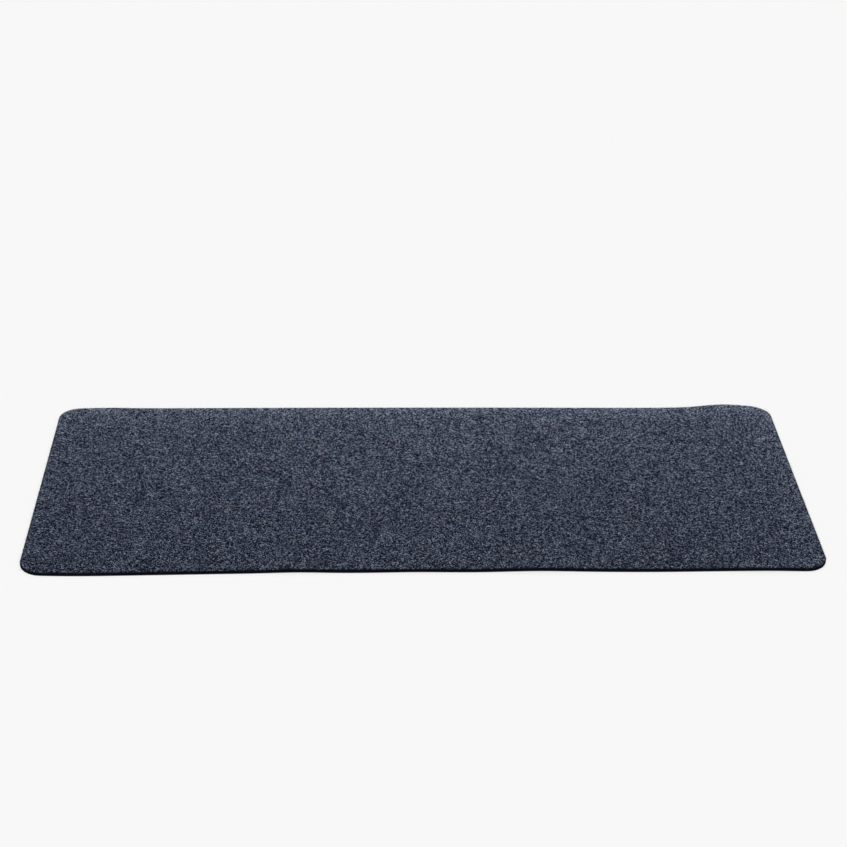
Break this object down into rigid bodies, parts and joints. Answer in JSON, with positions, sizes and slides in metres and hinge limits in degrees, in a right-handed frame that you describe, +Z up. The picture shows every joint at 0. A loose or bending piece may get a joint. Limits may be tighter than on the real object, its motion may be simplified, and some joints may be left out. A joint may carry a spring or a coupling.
{
  "type": "desk mat",
  "caption": "Long felt desk mat with round corners: a thick felt face laminated to a thin black rubber base that grips the desk.",
  "frame": {"origin": "middle of the underside, where the rubber base meets the desk", "axes": "+X along the mat's width, +Y from the front edge to the back edge, +Z up through the layers"},
  "size_m": [0.9, 0.4, 0.004],
  "materials": {
    "felt": "matte",
    "hot_melt_film": "satin",
    "base_rubber": "matte"
  },
  "bodies": {
    "root": {"felt_face": "felt", "bonding_film": "hot_melt_film", "rubber_base": "base_rubber"}
  },
  "joints": []
}
